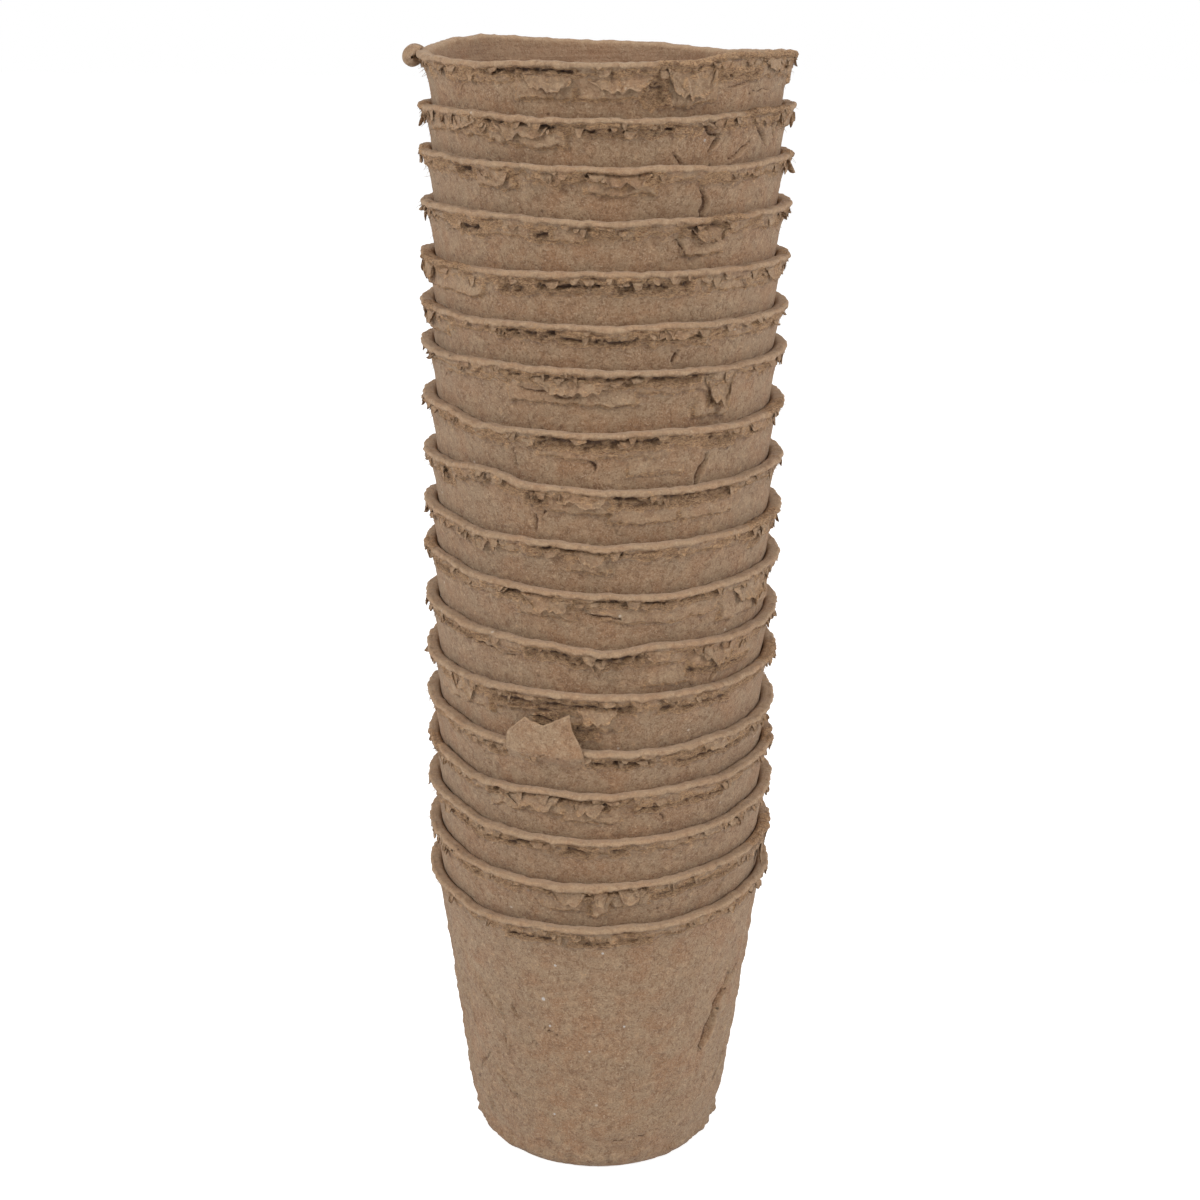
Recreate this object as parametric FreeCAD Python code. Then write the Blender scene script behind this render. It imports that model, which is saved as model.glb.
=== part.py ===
import FreeCAD, Part
import math
import os

# A standing stack of round pots moulded from peat and paper pulp. Each pot is one thin
# tapered cup with a flat base and an outward lip, and the torn skin of the pulp hangs
# under the lip in flaps. Every pot stands in the one below it.
# The origin is the centre of the lowest pot's base, +Z is up the stack and -Y is the front.
# Lengths are in millimetres. A bearing is in degrees about the stack, from the front
# towards the right.

Vector = FreeCAD.Vector
centre = Vector(0, 0, 0)
upward = Vector(0, 0, 1)
outward = Vector(1, 0, 0)
sideways = Vector(0, 1, 0)
front_turn = -90.0

# One pot.
rim_diameter = 80.0
base_diameter = 56.0
pot_height = 68.0
wall_thickness = 1.15
floor_thickness = 1.6
base_round = 1.5
floor_round = 2.5

# The foot, where the wall draws in a little more towards the base.
foot_draw = 1.3
foot_height = 10.0

# The lip. It stands out past the straight line of the wall, over a short concave neck.
lip_reach = 1.63
lip_height = 3.2
lip_round = 1.1
mouth_round = 0.5
neck_drop = 2.6
neck_round = 1.5

# How a pot sits in the next one: its wall goes down until this much is left all round.
nest_clearance = 0.3

# Each pot's wall against the mean wall, lowest pot first. A thicker wall holds the next
# pot higher, which gives the uneven rise of the rims.
wall_shares = (
    0.93, 0.99, 0.97, 0.87, 1.19, 0.96, 1.12, 0.94, 1.08,
    1.17, 1.26, 0.78, 0.92, 1.03, 0.91, 0.82, 0.89, 1.00,
)
pot_count = len(wall_shares)

# Uneven lips: shallow scoops in the top and bites out of the edge, both wide arcs.
scoop_radius = 42.0
scoop_depth = 0.9
bite_radius = 30.0
bite_depth = 0.8

# Skin torn loose under the lip.
flap_thickness = 0.7
flap_root_depth = 1.2
flap_stand_off = 0.9
flap_ground_clearance = 0.4

# The large flake on one pot: a tongue of its rim that stands up instead of rolling over.
flake_rise = 7.5
flake_inset = 0.4

# The curled skin at the left of the top rim.
curl_radius = 2.2
curl_hole_radius = 1.2
curl_out = 1.6
curl_down = 1.4
curl_bearing = -90.0
curl_angle = 9.0

# One length by which every cutting body runs past what it cuts.
overrun = 2.0

# Ragged outlines of the flaps, from the left root to the right root: shares of the
# flap's width, from its middle, and of its drop.
jagged_shares = (
    (-0.50, 0.25), (-0.43, 0.62), (-0.30, 0.50), (-0.17, 0.93), (-0.02, 0.78),
    (0.10, 1.00), (0.22, 0.66), (0.36, 0.80), (0.50, 0.20),
)
leaning_shares = (
    (-0.50, 0.10), (-0.38, 0.35), (-0.20, 0.48), (-0.08, 0.80), (0.12, 1.00),
    (0.30, 0.86), (0.42, 0.92), (0.50, 0.45),
)
folded_shares = (
    (-0.50, 0.55), (-0.40, 0.90), (-0.22, 1.00), (-0.05, 0.72), (0.08, 0.58),
    (0.25, 0.74), (0.40, 0.60), (0.50, 0.30),
)

# The flake's outline, from left to right: shares of its width, from its middle, and of
# its rise above the pot.
flake_shares = (
    (-0.50, 0.22), (-0.24, 0.82), (-0.01, 0.68), (0.06, 0.69), (0.32, 1.00),
    (0.35, 0.52), (0.46, 0.07),
)

# The flaps of each pot, lowest pot first: bearing and width in degrees, the share of
# the free height down to the lip below, and the outline.
flap_table_shares = (
    ((-35, 20, 0.45, jagged_shares), (30, 26, 0.40, leaning_shares),
     (118, 24, 0.55, folded_shares), (-132, 30, 0.50, jagged_shares)),
    ((-10, 15, 0.80, jagged_shares), (11, 13, 0.70, folded_shares),
     (75, 9, 0.90, leaning_shares), (162, 34, 0.60, jagged_shares)),
    ((-34, 22, 0.50, folded_shares), (24, 16, 0.55, jagged_shares),
     (104, 28, 0.70, jagged_shares), (-148, 22, 0.60, leaning_shares)),
    ((-22, 32, 0.75, jagged_shares), (14, 24, 0.60, leaning_shares),
     (138, 20, 0.75, folded_shares), (-98, 24, 0.50, jagged_shares)),
    ((-58, 22, 0.60, leaning_shares), (40, 30, 0.50, folded_shares),
     (96, 18, 0.65, jagged_shares), (-166, 30, 0.70, jagged_shares)),
    ((-48, 24, 0.70, jagged_shares), (4, 18, 0.80, folded_shares),
     (128, 30, 0.60, leaning_shares), (-112, 20, 0.70, jagged_shares)),
    ((-2, 8, 1.00, jagged_shares), (17, 12, 0.80, folded_shares),
     (46, 28, 0.85, folded_shares), (172, 26, 0.65, jagged_shares)),
    ((-18, 20, 0.90, leaning_shares), (54, 24, 1.00, jagged_shares),
     (112, 22, 0.60, jagged_shares), (-126, 28, 0.75, folded_shares)),
    ((-5, 10, 0.75, jagged_shares), (-44, 26, 0.50, leaning_shares),
     (84, 22, 0.60, jagged_shares), (150, 28, 0.65, folded_shares)),
    ((-7, 22, 0.85, folded_shares), (30, 24, 0.75, jagged_shares),
     (-62, 22, 0.60, leaning_shares), (-154, 30, 0.70, jagged_shares)),
    ((18, 18, 0.85, jagged_shares), (56, 20, 0.55, leaning_shares),
     (134, 24, 0.70, folded_shares), (-102, 26, 0.60, jagged_shares)),
    ((-10, 38, 0.95, jagged_shares), (38, 13, 1.00, leaning_shares),
     (86, 8, 0.90, jagged_shares), (-170, 24, 0.60, folded_shares)),
    ((-26, 20, 0.65, jagged_shares), (30, 20, 0.60, leaning_shares),
     (-70, 20, 0.80, jagged_shares), (142, 30, 0.55, folded_shares)),
    ((-62, 30, 0.90, jagged_shares), (66, 26, 0.75, jagged_shares),
     (8, 30, 0.50, leaning_shares), (-140, 22, 0.70, folded_shares)),
    ((33, 14, 1.00, leaning_shares), (-26, 34, 0.55, jagged_shares),
     (76, 20, 0.60, folded_shares), (156, 26, 0.65, jagged_shares)),
    ((-37, 16, 0.85, leaning_shares), (6, 22, 0.80, folded_shares),
     (88, 7, 0.95, jagged_shares), (-118, 28, 0.60, jagged_shares)),
    ((-56, 28, 0.85, folded_shares), (-28, 26, 0.80, jagged_shares),
     (22, 30, 0.55, leaning_shares), (124, 24, 0.70, jagged_shares)),
    ((-19, 20, 0.85, jagged_shares), (5, 26, 0.75, jagged_shares),
     (28, 18, 1.00, leaning_shares), (60, 30, 0.70, folded_shares),
     (-160, 26, 0.60, jagged_shares)),
)
flake_pot = 4
flake_bearing = -18.0
flake_width = 26.0

# Scoops and bites come at uneven bearings, which turn on from pot to pot.
scoop_bearings = (-68.0, -31.0, 14.0, 52.0, 97.0, 149.0, 201.0, 246.0)
scoop_shares = (0.60, 0.35, 1.00, 0.50, 0.80, 0.40, 0.90, 0.55)
bite_bearings = (-80.0, -47.0, 3.0, 36.0, 71.0, 118.0, 176.0, 229.0)
bite_shares = (0.80, 0.45, 0.60, 1.00, 0.40, 0.75, 0.50, 0.90)
turn_from_pot_to_pot = 137.0

# Sizes worked out from the ones above.
rim_radius = rim_diameter / 2
base_radius = base_diameter / 2
line_base_radius = base_radius + foot_draw
line_rim_radius = rim_radius - lip_reach
taper = (line_rim_radius - line_base_radius) / pot_height
rises = [(wall_thickness * share + nest_clearance) / taper for share in wall_shares]
lip_underside = pot_height - lip_height
neck_height = lip_underside - neck_drop


def wall_radius(height):
    """Outside radius of a pot's straight wall at a height above its base."""
    return line_base_radius + taper * height


def foot_radius(height):
    """Outside radius within the foot, where the wall draws in to the base."""
    return base_radius + (wall_radius(foot_height) - base_radius) * height / foot_height


def turned(shape, bearing):
    """A shape made along +X, turned to face a bearing."""
    return shape.rotated(centre, upward, bearing + front_turn)


def rounded_face(corners):
    """Face in the XZ plane through corners of radius, height and rounding."""
    spans = []
    for index, (radius, height, rounding) in enumerate(corners):
        here = Vector(radius, 0, height)
        before = corners[index - 1]
        after = corners[(index + 1) % len(corners)]
        to_before = (Vector(before[0], 0, before[1]) - here).normalize()
        to_after = (Vector(after[0], 0, after[1]) - here).normalize()
        half_angle = to_before.getAngle(to_after) / 2
        setback = rounding / math.tan(half_angle)
        inset = rounding / math.sin(half_angle) - rounding
        middle = here + (to_before + to_after).normalize() * inset
        spans.append((here + to_before * setback, middle, here + to_after * setback, rounding))
    edges = []
    for index, (start, middle, end, rounding) in enumerate(spans):
        if rounding:
            edges.append(Part.Arc(start, middle, end).toShape())
        following = spans[(index + 1) % len(spans)][0]
        edges.append(Part.LineSegment(end, following).toShape())
    return Part.Face(Part.Wire(edges))


def cup(wall):
    """The plain cup: base, foot, wall, neck and lip, hollow from its floor up."""
    corners = (
        (0, 0, 0),
        (base_radius, 0, base_round),
        (wall_radius(foot_height), foot_height, 0),
        (wall_radius(neck_height), neck_height, neck_round),
        (rim_radius, lip_underside, lip_round),
        (rim_radius, pot_height, lip_round),
        (wall_radius(pot_height) - wall, pot_height, mouth_round),
        (wall_radius(foot_height) - wall, foot_height, 0),
        (foot_radius(floor_thickness) - wall, floor_thickness, floor_round),
        (0, floor_thickness, 0),
    )
    return rounded_face(corners).revolve(centre, upward, 360)


def scoop(bearing, depth):
    """A wide shallow arc taken out of the top of the lip."""
    half_chord = math.sqrt(scoop_radius ** 2 - (scoop_radius - depth - overrun) ** 2)
    inside = line_rim_radius - wall_thickness - overrun
    left = Vector(inside, -half_chord, pot_height + overrun)
    lowest = Vector(inside, 0, pot_height - depth)
    right = Vector(inside, half_chord, pot_height + overrun)
    edges = [Part.Arc(left, lowest, right).toShape(), Part.LineSegment(right, left).toShape()]
    segment = Part.Face(Part.Wire(edges))
    return turned(segment.extrude(outward * (rim_radius - inside + overrun)), bearing)


def bite(bearing, depth):
    """A wide shallow arc taken out of the outer edge of the lip."""
    foot = Vector(rim_radius + bite_radius - depth, 0, neck_height)
    round_bar = Part.makeCylinder(bite_radius, pot_height - neck_height + overrun, foot, upward)
    return turned(round_bar, bearing)


def uneven_lip(pot, index):
    """Take the scoops and bites out of a pot's lip."""
    turn = turn_from_pot_to_pot * index
    cutters = []
    for bearing, share in zip(scoop_bearings, scoop_shares):
        cutters.append(scoop(bearing + turn, scoop_depth * share))
    for bearing, share in zip(bite_bearings, bite_shares):
        cutters.append(bite(bearing + turn, bite_depth * share))
    return pot.cut(cutters)


def ragged_skin(edge, end, root_radius, end_radius, bearing, width, outline_shares):
    """Thin skin rooted in the lip, from an edge of the lip to an end above or below it,
    cut to a ragged outline seen from outside."""
    root = lip_underside + flap_root_depth
    section = Part.Face(Part.makePolygon([
        Vector(root_radius - flap_thickness, 0, root),
        Vector(root_radius, 0, root),
        Vector(end_radius, 0, end),
        Vector(end_radius - flap_thickness, 0, end),
        Vector(root_radius - flap_thickness, 0, root),
    ]))
    band = section.revolve(centre, upward, width)
    band = band.rotated(centre, upward, -width / 2)
    chord = 2 * root_radius * math.sin(math.radians(width / 2))
    inside = root_radius - lip_reach - lip_height
    points = [Vector(inside, -chord / 2, root)]
    for across, along in outline_shares:
        points.append(Vector(inside, across * chord, edge + along * (end - edge)))
    points.append(Vector(inside, chord / 2, root))
    points.append(points[0])
    sheet = Part.Face(Part.makePolygon(points))
    slab = sheet.extrude(outward * (rim_radius - inside + lip_height))
    return turned(band.common(slab), bearing)


def flap(bearing, width, drop_share, outline_shares, rise_below):
    """A short flap. It ends clear of the lip of the pot below."""
    free_height = rise_below - lip_height - flap_ground_clearance
    drop = free_height * drop_share
    end = lip_underside - drop
    top_radius = rim_radius - lip_round
    low_radius = wall_radius(end) + flap_stand_off + flap_thickness
    return ragged_skin(lip_underside, end, top_radius, low_radius, bearing, width, outline_shares)


def flake():
    """The large flake, upright from the lip, just inside the lip's outer edge."""
    radius = rim_radius - flake_inset
    end = pot_height + flake_rise
    return ragged_skin(pot_height, end, radius, radius, flake_bearing, flake_width, flake_shares)


def curl():
    """Skin of the top rim curled into a small open roll at the left."""
    along = Vector(rim_radius + curl_out, 0, pot_height - curl_down)
    outer = Part.Face(Part.Wire(Part.makeCircle(curl_radius, along, sideways)))
    hole = Part.Face(Part.Wire(Part.makeCircle(curl_hole_radius, along, sideways)))
    roll = outer.cut(hole).revolve(centre, upward, curl_angle)
    return turned(roll, curl_bearing - curl_angle / 2)


def pot(index):
    """One pot of the stack, standing at the origin. The lowest has the next one's rise below."""
    body = uneven_lip(cup(wall_thickness * wall_shares[index]), index)
    rise_below = rises[index - 1] if index else rises[0]
    loose_skin = []
    for bearing, width, drop_share, outline_shares in flap_table_shares[index]:
        loose_skin.append(flap(bearing, width, drop_share, outline_shares, rise_below))
    if index == flake_pot:
        loose_skin.append(flake())
    if index == pot_count - 1:
        loose_skin.append(curl())
    return body.fuse(loose_skin)


os.makedirs("parts", exist_ok=True)
base_height = 0.0
for index in range(pot_count):
    shape = pot(index)
    shape.translate(upward * base_height)
    name = f"pot_{index + 1:02d}"
    print(name, "solids", len(shape.Solids), "valid", shape.isValid(), "base at", round(base_height, 2))
    shape.exportStep(f"parts/{name}.step")
    base_height += rises[index]
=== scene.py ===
import itertools
import math

import bpy
import numpy as np
from mathutils import Matrix, Vector


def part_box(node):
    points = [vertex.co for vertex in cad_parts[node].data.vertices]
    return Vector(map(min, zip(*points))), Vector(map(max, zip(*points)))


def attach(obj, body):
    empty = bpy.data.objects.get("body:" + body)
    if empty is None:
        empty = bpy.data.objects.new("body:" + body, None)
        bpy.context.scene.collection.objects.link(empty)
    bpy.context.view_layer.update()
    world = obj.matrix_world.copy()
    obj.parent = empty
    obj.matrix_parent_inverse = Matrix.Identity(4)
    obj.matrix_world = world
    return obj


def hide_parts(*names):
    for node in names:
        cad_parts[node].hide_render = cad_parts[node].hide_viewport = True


# A stack of nested round pots moulded from peat and paper pulp. Every pot is one mesh: a
# thin cup whose lip is uneven and torn, with skin hanging under it, plus the loose flaps,
# scraps and fibres that its tear left. Sizes are in millimetres and turned into metres when
# a mesh is made. A bearing is in degrees from the front, -Y, to the right.

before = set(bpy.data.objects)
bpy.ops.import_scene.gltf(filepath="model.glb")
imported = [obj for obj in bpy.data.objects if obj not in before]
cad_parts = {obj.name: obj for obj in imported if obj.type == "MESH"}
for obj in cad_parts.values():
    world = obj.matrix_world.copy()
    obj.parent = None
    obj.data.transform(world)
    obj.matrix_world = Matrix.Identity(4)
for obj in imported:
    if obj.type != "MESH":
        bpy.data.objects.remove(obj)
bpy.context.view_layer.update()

millimetre = 0.001
seed = 4

# One pot, as in the frame.
pot_height = 68.0
base_radius = 28.0
foot_draw = 1.3
foot_height = 10.0
rim_radius = 40.0
lip_reach = 1.63
floor_thickness = 1.6
wall_thickness = 1.15
wall_shares = (
    0.93, 0.99, 0.97, 0.87, 1.19, 0.96, 1.12, 0.94, 1.08,
    1.17, 1.26, 0.78, 0.92, 1.03, 0.91, 0.82, 0.89, 1.00,
)
line_base_radius = base_radius + foot_draw
taper = (rim_radius - lip_reach - line_base_radius) / pot_height

pot_names = sorted(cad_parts)
pot_count = len(pot_names)
base_heights = [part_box(name)[0][2] / millimetre for name in pot_names]

# Height of each lip above its level place, lowest pot first, at these bearings.
wave_bearings = (
    -135.0, -90.0, -60.0, -40.0, -20.0, 0.0, 20.0, 40.0, 60.0, 90.0, 135.0, 180.0,
)
lip_waves = (
    (-0.6, -0.3, -0.2, -1.6, -0.95, -0.9, -0.45, 0.4, 1.1, 0.9, 0.0, -0.5),
    (-0.2, 0.7, 1.0, -0.6, -0.9, -0.95, -0.3, 0.5, 0.8, 0.8, 0.4, -0.1),
    (0.3, 1.0, 1.1, -0.35, -1.05, -1.25, -0.85, -0.35, 0.95, 0.8, 0.1, -0.2),
    (0.0, 0.8, 0.9, -1.1, -0.55, -1.1, -0.4, 0.1, 0.7, 0.6, 0.2, -0.3),
    (0.2, 1.0, 1.3, 0.1, -0.4, -0.8, -0.95, -0.2, 0.4, 0.5, -0.1, -0.4),
    (-0.5, -0.2, -0.3, -0.35, -0.3, -0.55, -0.8, -0.7, -0.3, 0.0, -0.3, -0.7),
    (0.4, 1.2, 1.6, 0.65, 0.05, -1.3, -0.2, -0.8, -0.5, -0.3, -0.6, 0.2),
    (0.5, 1.6, 1.9, 0.5, -0.3, -0.9, -1.3, -0.6, -0.1, -0.2, 0.3, 0.1),
    (-0.1, 1.0, 1.6, 0.05, -0.1, -0.7, -0.4, -0.05, 0.2, 0.3, -0.2, -0.6),
    (0.3, 0.8, 1.5, 2.3, 0.1, -0.55, -0.5, -0.3, 0.35, 0.3, -0.5, -0.3),
    (0.2, 1.0, 0.9, -0.85, -0.85, -1.1, -0.5, -0.7, -0.25, 0.2, -0.4, -0.2),
    (-0.9, -0.6, -0.8, -0.65, -0.95, -1.1, -1.3, -1.4, -1.15, -1.0, -0.7, -1.1),
    (-0.4, -0.8, -0.8, -1.1, -1.1, -1.35, -1.0, -1.0, -1.0, -0.9, -0.3, -0.6),
    (-1.2, -1.0, -1.1, -1.1, -0.95, -0.7, -0.6, -0.65, -0.5, -0.5, -1.0, -1.3),
    (-0.7, -1.3, -0.75, -1.05, -1.4, -1.85, -1.5, -1.2, -0.9, -0.8, -0.4, -0.8),
    (-0.3, -0.4, -0.4, -1.0, -1.35, -1.4, -1.2, -1.5, -0.9, -0.6, -0.9, -0.7),
    (-0.5, -0.6, -0.6, -0.85, -1.5, -1.5, -1.3, -0.75, 0.0, -0.1, -0.6, -0.9),
    (2.5, 0.2, -0.9, -1.4, -0.9, -1.0, -0.7, 0.8, 1.0, 0.4, 0.0, 1.4),
)

# Where the lip itself is torn to fluff, between bearings, by pot number.
fluff_ranges = {
    18: [(14, 90)],
    17: [(44, 72), (-88, -74)],
    16: [(-90, -76), (76, 92)],
    15: [(30, 46)],
    14: [(-88, -44), (78, 94)],
    13: [(-78, -62)],
    11: [(62, 84)],
    9: [(52, 78)],
    8: [(-86, -70)],
    6: [(66, 88)],
    4: [(-84, -66), (74, 90)],
    2: [(60, 88)],
}

# What the tear left under each lip, by pot number. Bearings are in degrees and depths in
# millimetres below the lip's lower edge.
# Torn skin whose lower edge stands out: from, to, top, bottom and how far it stands out.
skins = {
    1: [(-34, -6, -1, 1.6, 0.35), (-2, 20, -1, 2, 0.3), (24, 52, -1, 2.4, 0.4)],
    2: [
        (-19, -3, 0.4, 5.1, 0.8), (-2.5, 3.5, 0.6, 5.8, 0.9), (4.5, 17, 0.3, 4.6, 0.8),
        (18, 50, -1, 2.2, 0.5), (55, 80, -1, 3.2, 0.5), (-66, -30, -1, 1.6, 0.3),
    ],
    3: [(-60, -26, -1, 2, 0.4), (-4, 5, -1, 1.5, 0.4), (20, 48, -1, 1.9, 0.4)],
    4: [(-38, -12, 0.5, 4.6, 0.6), (-12, 7, 1, 5.8, 0.6), (12, 44, -1, 3, 0.5)],
    5: [(-52, -22, -1, 1.8, 0.4), (-20, -4, -1, 1.5, 0.3), (26, 60, -1, 3.2, 0.5)],
    6: [
        (-68, -38, -1, 5.6, 0.9), (-37, -20, -1, 4.2, 0.6), (-9, 7, 3, 7.2, 0.6),
        (10, 44, -1, 2.4, 0.5),
    ],
    7: [
        (-36, -24, -1, 2.4, 0.4), (12, 27, -1.5, 3.6, 0.6), (29, 60, -1, 5.6, 0.9),
        (15, 33, 4.2, 8.6, 0.5),
    ],
    8: [
        (-27, -8, 0.6, 5.2, 0.9), (0, 40, 0.3, 5.2, 0.5), (42, 72, -0.6, 8, 1.2),
        (-62, -36, -1, 2.2, 0.3),
    ],
    9: [(-33, -12, -1, 2.2, 0.5), (-10, 2, 0.4, 4.8, 0.8), (12, 46, -1, 2, 0.4), (54, 76, -1, 3, 0.6)],
    10: [(-22, 4, -1, 4.2, 0.9), (2, 24, 1, 6, 0.5), (25, 46, 1, 6, 0.6), (-74, -40, -1, 2.2, 0.6)],
    11: [
        (-21, 20, 1.6, 4.4, 0.5), (8, 26, 3, 8.4, 0.4), (-66, -24, -1, 1.8, 0.3),
        (48, 70, -1, 2.6, 0.4),
    ],
    12: [
        (-30, 10, 1, 6.2, 0.9), (10, 44, -1, 3.6, 0.6), (30, 43, 2, 9.4, 0.9), (-60, -32, -1, 2.6, 0.4),
    ],
    13: [
        (-34, 12, -1, 1.9, 0.5), (14, 34, -1, 3.2, 0.6), (-84, -60, -1, 4.2, 0.6),
        (40, 80, -1, 2.4, 0.5),
    ],
    14: [(-86, -40, -1, 4.8, 0.8), (-36, 30, -1, 3.2, 0.5), (34, 88, -1, 3.4, 0.6)],
    15: [
        (-56, -6, -1, 3.2, 0.5), (-6, 22, -1, 1.8, 0.4), (24, 40, 1.8, 6.4, 1), (52, 84, -1, 2.6, 0.4),
    ],
    16: [
        (-42, -27, -0.5, 4, 0.9), (-24, -8, -1, 1.8, 0.4), (-6, 15, 0.3, 4.2, 1),
        (15, 60, -1, 1.8, 0.4), (-80, -50, -1, 2, 0.4),
    ],
    17: [
        (-68, -38, -0.5, 3.4, 0.7), (-38, -12, 0.8, 4.4, 0.8), (-10, 26, -1, 1.8, 0.5),
        (66, 84, -1, 3, 0.6),
    ],
    18: [
        (-58, -29, -1, 2.6, 0.4), (-28, -9, 0.6, 6, 0.9), (-9, 17, 1.6, 5.8, 0.6),
        (16, 35, -0.5, 7.6, 0.9), (35, 84, -1, 3.6, 0.6),
    ],
}

# Places where the skin has come off and a recess shows, darkened with painted shade: from, to, top,
# bottom.
slots = {
    1: [(-32, -14, 2.3, 3.2), (-9, 17, 2.4, 3.2)],
    2: [(19, 54, 1.9, 3), (-18, 16, -0.2, 0.9), (-52, -44, 1, 2.2)],
    3: [(-11, -4, 0.8, 2.7), (4.5, 8.5, 0.5, 2.4), (-30, -23, 0.6, 1.6), (-64, -28, 1.9, 2.6)],
    4: [(-38, 6, -0.1, 1.3), (13, 44, 2.6, 3.6), (-5, 2, 1.2, 2.6)],
    5: [(-3, 16, 0.9, 2.2), (26, 59, 2.2, 3.2), (-38, -33, 0.6, 2.4)],
    6: [(-37, 10, 1.4, 3.2), (-21, -15, 3, 6.4), (-8, -2, 6.6, 9.4), (20, 46, 2.2, 3.2)],
    7: [(-24, 12, 0.3, 2.6), (30, 58, 5.4, 6.6), (-60, -46, 1.2, 2.2)],
    8: [(-33, -16, 0.2, 2), (-2, 38, -0.1, 1), (-70, -58, 1.5, 2.8)],
    9: [(-20, 6, -0.1, 0.9), (58, 64, 0.8, 4)],
    10: [(-24, -18, 0.7, 2.9), (4, 44, -0.2, 2.4), (-64, -57, 0.4, 4)],
    11: [(-21, 19, 0.2, 2.3), (34, 46, 0.8, 3)],
    12: [(-30, 2, 0.4, 1.3), (0, 30, -0.1, 1.6), (36, 42, 3, 6.6)],
    13: [(-33, -15, 0.4, 1.7), (-13, 10, 1.4, 2.5), (17, 31, 0.5, 2.2)],
    14: [(-32, -24, 1.4, 3), (-20, 1.5, 1.2, 2.2), (4, 26, 1.1, 3)],
    15: [(24, 39, 0.2, 2.2), (-50, -42, 1.8, 3.4), (-22, -17, 1.5, 3)],
    16: [(-6, 14, -0.2, 1), (-50, -44, 0.4, 2)],
    17: [(-38, -12, -0.1, 1.2), (-10, 20, 0.8, 1.7)],
    18: [(-40, -10, -0.1, 1.1), (12, 17, 3, 7.2), (36, 52, 2.6, 3.6)],
}

# Thin creases: bearing and depth of one end, bearing and depth of the other, width.
cracks = {
    1: [
        (-50, 20, -39, 27, 0.9), (-34, 22, -31, 26, 0.7), (-40, 31, -38, 36, 0.8),
        (-48, 43, -36, 49, 0.9), (67, 21, 52, 27, 0.6), (58, 21, 50, 30, 1.1), (51, 29, 45, 38, 1.6),
        (-58, 46, -50, 40, 0.7), (2, 58.6, 30, 57, 0.3), (-62, 50, -52, 57, 0.8),
        (-20, 27, -14, 29, 0.5), (-27, 30, -22, 33, 0.4), (-66, 24, -58, 33, 0.7),
        (68, 44, 60, 51, 0.5),
    ],
    2: [(-50, 2.6, -46, 6.5, 0.5), (48, 4, 44, 8, 0.5)],
    3: [(-49, 2, -45, 5, 0.4)],
    4: [(20, 4, 23, 8, 0.4)],
    5: [(-42, 3, -40, 6, 0.4)],
    6: [(-24, 5, -10, 7, 0.5)],
    7: [(42, 6.8, 39, 9.5, 0.6), (-50, 2, -28, 4, 0.5)],
    8: [(-6, 3, 6, 4.6, 0.5)],
    9: [(-62, 4, -58, 8, 0.5)],
    10: [(-22, 4.6, -21, 9.6, 0.5), (-18, 4, -20, 7.6, 0.4), (3, 5.5, 6, 9, 0.4)],
    11: [(35, 5.2, 31, 11.4, 0.9), (-4, 4.6, -2, 6.5, 0.7), (-30, 3, -28, 7, 0.5)],
    12: [(-28, 3.4, -8, 5, 0.5)],
    13: [(23, 4.4, 21, 8.4, 0.6)],
    14: [(46, 1.6, 50, 4.4, 0.4)],
    15: [(22, 3.4, 28, 7, 0.5)],
    16: [(31, 3.2, 31.4, 9.6, 0.9)],
    17: [
        (30, 1.2, 35, 3.4, 0.9), (35, 3.4, 32, 6.4, 0.9), (40, 8.6, 50, 5.3, 0.65),
        (20, 5.4, 24, 8.2, 0.5), (52, 2, 60, 6.4, 0.6), (60, 1.6, 66, 4.4, 0.55),
    ],
    18: [(38, 5.4, 50, 4.2, 0.45), (46, 7.6, 60, 6, 0.35)],
}

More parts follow.
